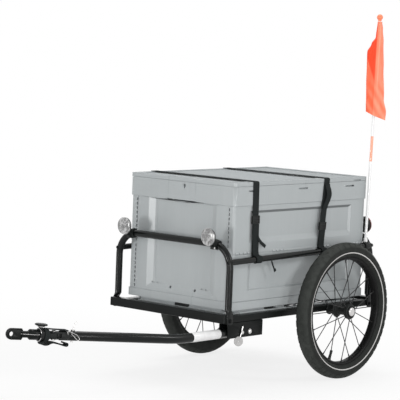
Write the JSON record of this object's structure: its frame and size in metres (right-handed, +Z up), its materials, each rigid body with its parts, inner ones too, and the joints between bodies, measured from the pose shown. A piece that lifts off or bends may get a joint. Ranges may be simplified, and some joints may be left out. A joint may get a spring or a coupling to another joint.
{
  "type": "folding bicycle cargo trailer",
  "caption": "Two-wheeled bicycle trailer with a folding lidded crate on a tube frame, a side drawbar with a pivoting axle hitch, hold-down straps and a pennant.",
  "frame": {"origin": "on the ground, at the centre of the overall box in plan", "axes": "+Z up, -Y towards the bicycle along the direction of travel, +X to the trailer's left, the side that carries the drawbar and the pennant"},
  "size_m": [0.6084, 1.3742, 1.0653],
  "materials": {
    "frame_paint": "satin black powder coat",
    "black_plastic": "moulded black plastic",
    "crate_plastic": "fine-grained grey polypropylene",
    "tyre": "black rubber with a pale stripe round each side wall",
    "rim": "black anodised",
    "zinc_steel": "bright zinc plate",
    "spoke_steel": "plain steel",
    "clear_lens": "clear prismatic lens",
    "red_lens": "red prismatic lens",
    "webbing": "black woven webbing",
    "pole_white": "white glass fibre",
    "flag_orange": "fluorescent orange cloth"
  },
  "bodies": {
    "frame": {"crate_left_lower_wall": "crate_plastic", "crate_left_upper_wall": "crate_plastic", "crate_right_lower_wall": "crate_plastic", "crate_right_upper_wall": "crate_plastic", "crate_rim_band": "crate_plastic", "crate_tray": "crate_plastic", "deck_bar": "frame_paint", "drawbar_bracket": "frame_paint", "drawbar_pivot_bolt": "zinc_steel", "flag_holder": "black_plastic", "front_cross_rail": "frame_paint", "front_hoop": "frame_paint", "front_left_reflector": "clear_lens", "front_left_reflector_clamp": "black_plastic", "front_right_reflector": "clear_lens", "front_right_reflector_clamp": "black_plastic", "front_strap_left": "webbing", "front_strap_right": "webbing", "left_axle": "zinc_steel", "left_axle_housing": "frame_paint", "left_guard_bar": "frame_paint", "left_side_rail": "frame_paint", "rear_cross_rail": "frame_paint", "rear_hoop": "frame_paint", "rear_left_reflector": "red_lens", "rear_left_reflector_clamp": "black_plastic", "rear_right_reflector": "red_lens", "rear_right_reflector_clamp": "black_plastic", "rear_strap_left": "webbing", "rear_strap_right": "webbing", "right_axle": "zinc_steel", "right_axle_housing": "frame_paint", "right_guard_bar": "frame_paint", "right_side_rail": "frame_paint"},
    "left_wheel": {"left_tyre": "tyre", "left_rim": "rim", "left_hub": "spoke_steel"},
    "right_wheel": {"right_tyre": "tyre", "right_rim": "rim", "right_hub": "spoke_steel"},
    "left_button": {"left_release_button": "zinc_steel"},
    "right_button": {"right_release_button": "zinc_steel"},
    "drawbar": {"drawbar_tube": "frame_paint", "hitch_tail": "black_plastic", "hitch_yaw_bolt": "zinc_steel"},
    "hitch_pin": {"hitch_pin": "zinc_steel"},
    "lock_pin": {"drawbar_lock_pin": "zinc_steel"},
    "receiver": {"hitch_receiver": "black_plastic", "hitch_safety_strap": "webbing"},
    "plunger": {"hitch_plunger_knob": "black_plastic"},
    "hitch_arm": {"hitch_arm": "frame_paint"},
    "lid": {"crate_lid": "crate_plastic", "front_strap_top": "webbing", "front_buckle": "black_plastic", "rear_strap_top": "webbing", "rear_buckle": "black_plastic"},
    "front_wall": {"crate_front_wall": "crate_plastic"},
    "rear_wall": {"crate_rear_wall": "crate_plastic"},
    "flag": {"flag_pole": "pole_white", "flag_cloth": "flag_orange"}
  },
  "joints": [
    {"name": "left_wheel_spin", "type": "hinge", "parent": "frame", "child": "left_wheel", "pos_m": [0.267, 0.4529, 0.2], "axis": [1, 0, 0], "continuous": true},
    {"name": "right_wheel_spin", "type": "hinge", "parent": "frame", "child": "right_wheel", "pos_m": [-0.267, 0.4529, 0.2], "axis": [1, 0, 0], "continuous": true},
    {"name": "left_wheel_release", "type": "slide", "parent": "frame", "child": "left_button", "axis": [-1, 0, 0], "range_m": [0, 0.003], "stiffness_N_per_m": 400, "springref_m": -0.003},
    {"name": "right_wheel_release", "type": "slide", "parent": "frame", "child": "right_button", "axis": [1, 0, 0], "range_m": [0, 0.003], "stiffness_N_per_m": 400, "springref_m": -0.003},
    {"name": "drawbar_fold", "type": "hinge", "parent": "frame", "child": "drawbar", "pos_m": [0.201, 0.0954, 0.164], "axis": [1, 0, 0], "range_deg": [0, 180]},
    {"name": "drawbar_lock_pin_pull", "type": "slide", "parent": "frame", "child": "lock_pin", "axis": [1, 0, 0], "range_m": [0, 0.042]},
    {"name": "hitch_pin_pull", "type": "slide", "parent": "drawbar", "child": "hitch_pin", "axis": [0.0214, 0.0773, 0.9968], "range_m": [0, 0.036]},
    {"name": "hitch_yaw", "type": "hinge", "parent": "drawbar", "child": "receiver", "pos_m": [0.09794, -0.55292, 0.19507], "axis": [0.0214, 0.0773, 0.9968], "range_deg": [-60, 60]},
    {"name": "hitch_plunger_lift", "type": "slide", "parent": "receiver", "child": "plunger", "axis": [0.0214, 0.0773, 0.9968], "range_m": [0, 0.004], "stiffness_N_per_m": 600, "springref_m": -0.004},
    {"name": "hitch_roll", "type": "hinge", "parent": "receiver", "child": "hitch_arm", "pos_m": [0.08576, -0.59692, 0.19874], "axis": [-0.2661, -0.9606, 0.0802], "continuous": true},
    {"name": "lid_open", "type": "hinge", "parent": "frame", "child": "lid", "pos_m": [-0.19405, 0.3319, 0.57545], "axis": [0, -1, 0], "range_deg": [0, 100]},
    {"name": "front_wall_fold", "type": "hinge", "parent": "frame", "child": "front_wall", "pos_m": [0, 0.0389, 0.5109], "axis": [1, 0, 0], "range_deg": [0, 90]},
    {"name": "rear_wall_fold", "type": "hinge", "parent": "frame", "child": "rear_wall", "pos_m": [0, 0.6249, 0.5109], "axis": [-1, 0, 0], "range_deg": [0, 90]},
    {"name": "flag_pull", "type": "slide", "parent": "frame", "child": "flag", "axis": [0, 0.0305, 0.9995], "range_m": [0, 0.03]}
  ]
}
